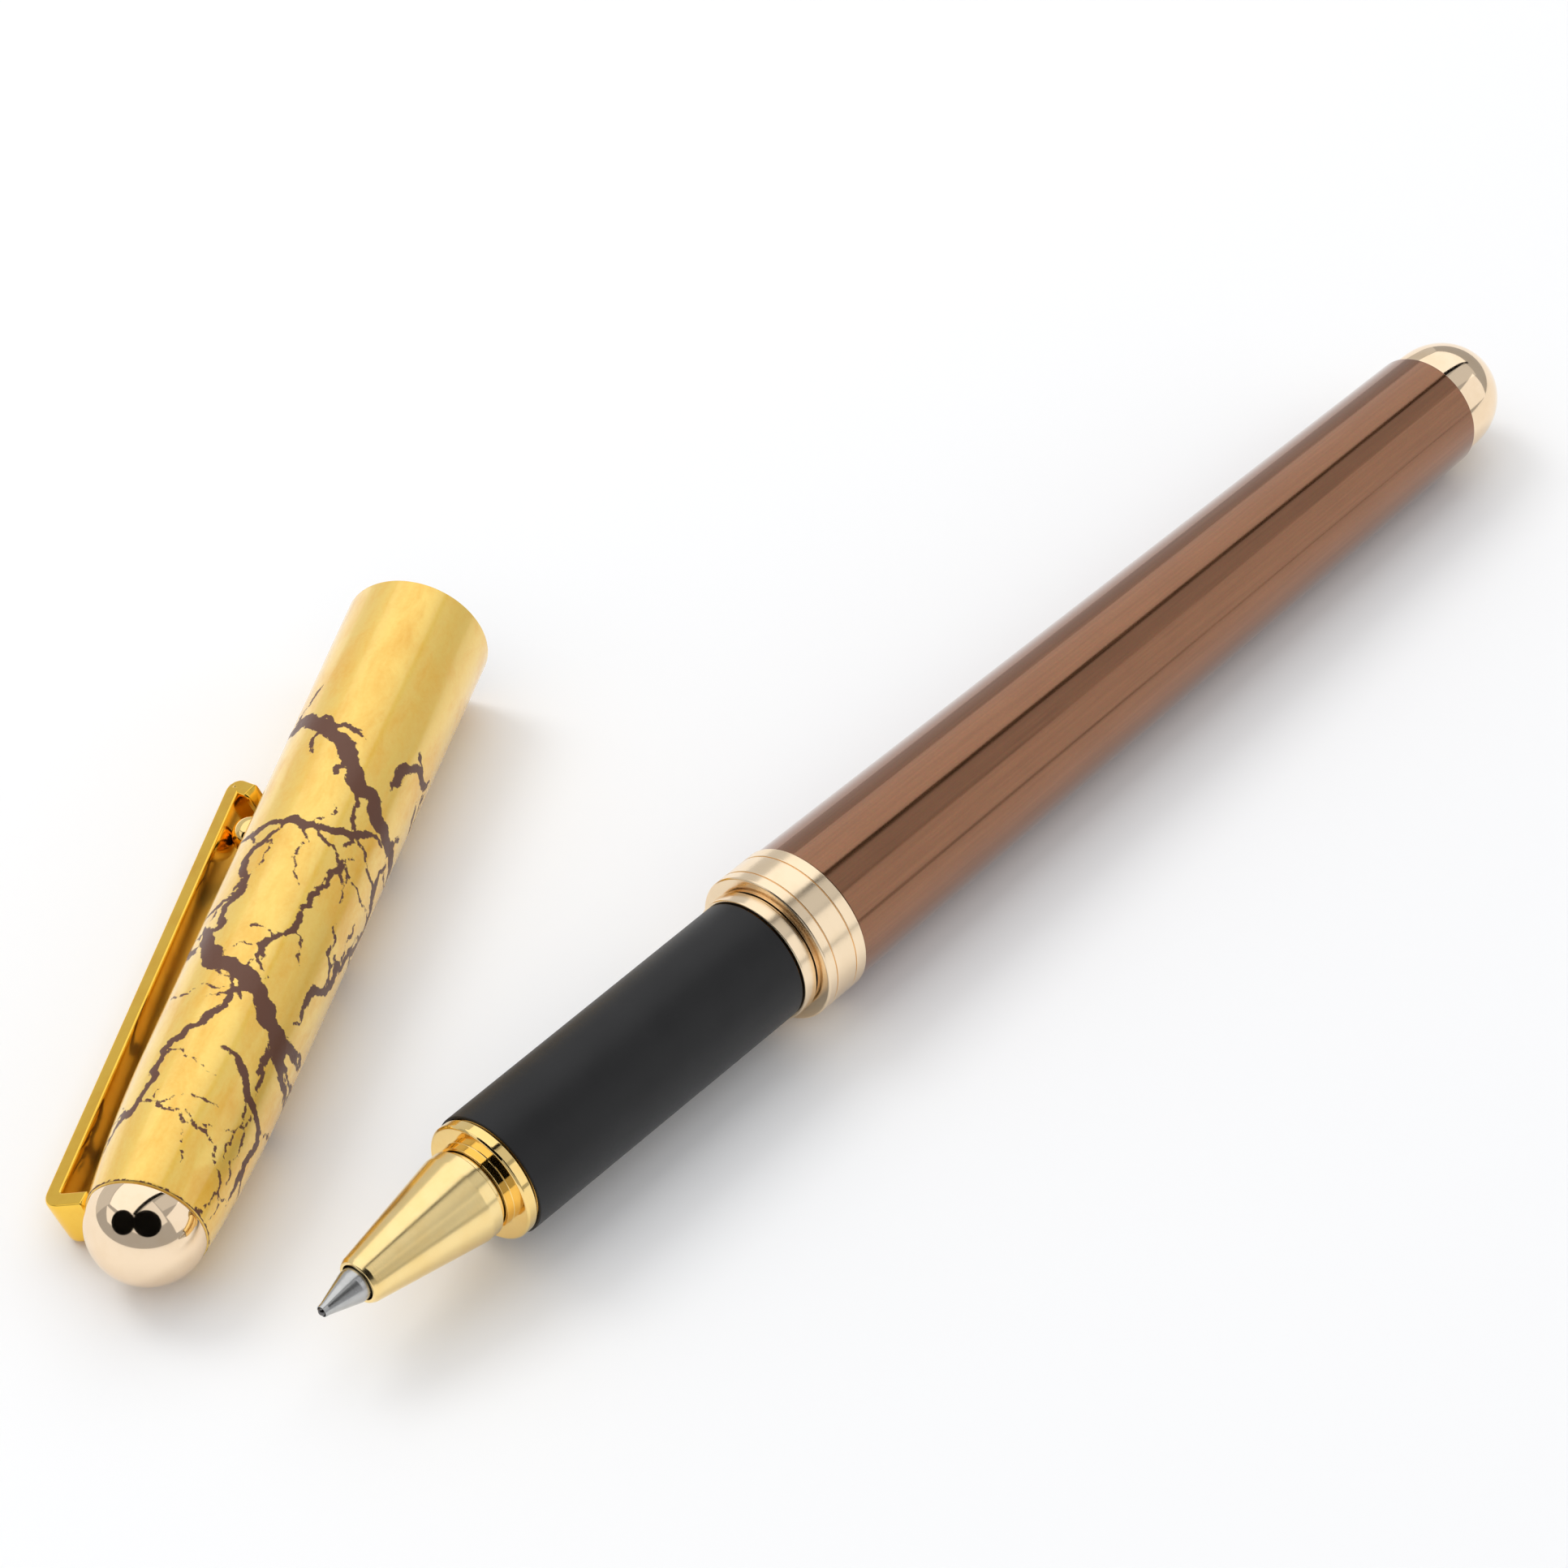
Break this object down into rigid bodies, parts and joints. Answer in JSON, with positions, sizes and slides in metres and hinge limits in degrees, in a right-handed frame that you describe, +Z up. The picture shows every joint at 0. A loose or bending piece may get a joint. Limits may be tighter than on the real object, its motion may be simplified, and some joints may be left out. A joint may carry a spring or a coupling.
{
  "type": "rollerball pen",
  "caption": "Rollerball pen with a lacquered barrel, black grip and plated fittings, its clip cap pulled off and lying beside it.",
  "frame": {"origin": "middle of the footprint, on the desk's surface", "axes": "+Z up; +X along the pen towards its tail, as it lies; +Y from the pen towards its cap"},
  "size_m": [0.1304, 0.05, 0.0111],
  "materials": {
    "brown_lacquer": "metallic lacquer, glossy",
    "gold_leaf": "crackled gold leaf under clear lacquer",
    "yellow_gold": "polished gold plate",
    "champagne_gold": "satin champagne-gold plate",
    "black_rubber_paint": "soft-touch matte black paint",
    "brass": "machined",
    "stainless_steel": "turned",
    "tungsten_carbide": "lapped",
    "black_plastic": "moulded",
    "white_plastic": "extruded",
    "ink_fibre": "bonded fibre soaked with ink",
    "nitrile_rubber": "moulded"
  },
  "bodies": {
    "barrel": {"barrel_tube": "brown_lacquer", "centre_ring": "champagne_gold", "barrel_thread_bush": "brass", "tail_plug": "brass", "tail_dome": "champagne_gold", "refill_spring": "stainless_steel"},
    "seal": {"section_o_ring": "nitrile_rubber"},
    "section": {"section_core": "brass", "grip_sleeve": "black_rubber_paint", "section_collar": "champagne_gold", "nose_flange_ring": "yellow_gold", "nose_cone": "yellow_gold"},
    "refill": {"refill_tip": "stainless_steel", "refill_holder": "black_plastic", "ink_wick": "ink_fibre", "refill_tube": "white_plastic", "ink_reservoir": "ink_fibre", "refill_end_plug": "black_plastic"},
    "ball": {"writing_ball": "tungsten_carbide"},
    "cap": {"cap_tube": "gold_leaf", "inner_cap": "black_plastic", "cap_snap_sleeve": "black_plastic", "cap_end_bush": "brass", "finial_dome": "champagne_gold", "finial_stud": "stainless_steel"},
    "clip": {"clip": "yellow_gold", "clip_bead": "yellow_gold"}
  },
  "joints": [
    {"name": "section_advance", "type": "slide", "parent": "barrel", "child": "seal", "axis": [-0.9999, 0, 0.0129], "range_m": [0, 0.00375]},
    {"name": "section_unscrew", "type": "hinge", "parent": "seal", "child": "section", "pos_m": [-0.03009, -0.01944, 0.00575], "axis": [-0.9999, 0, 0.0129], "range_deg": [0, 1800]},
    {"name": "refill_slide", "type": "slide", "parent": "section", "child": "refill", "axis": [0.9999, 0, -0.0129], "range_m": [0, 0.0012], "stiffness_N_per_m": 250, "springref_m": -0.003, "deforming": ["refill_spring"]},
    {"name": "ball_roll", "type": "hinge", "parent": "refill", "child": "ball", "pos_m": [-0.05979, -0.01944, 0.00613], "axis": [0, 1, 0], "continuous": true},
    {"name": "cap_slide", "type": "slide", "parent": "barrel", "child": "cap", "axis": [-0.8934, -0.4493, 0], "range_m": [0, 0.042]},
    {"name": "clip_flex", "type": "hinge", "parent": "cap", "child": "clip", "pos_m": [-0.06165, -0.00106, 0.00308], "axis": [-0.1874, 0.3521, 0.917], "range_deg": [0, 3], "stiffness_Nm_per_rad": 3.4}
  ],
  "couplings": [
    {"joint": "section_unscrew", "follows": "section_advance", "rad_per_m": 8377.6}
  ]
}
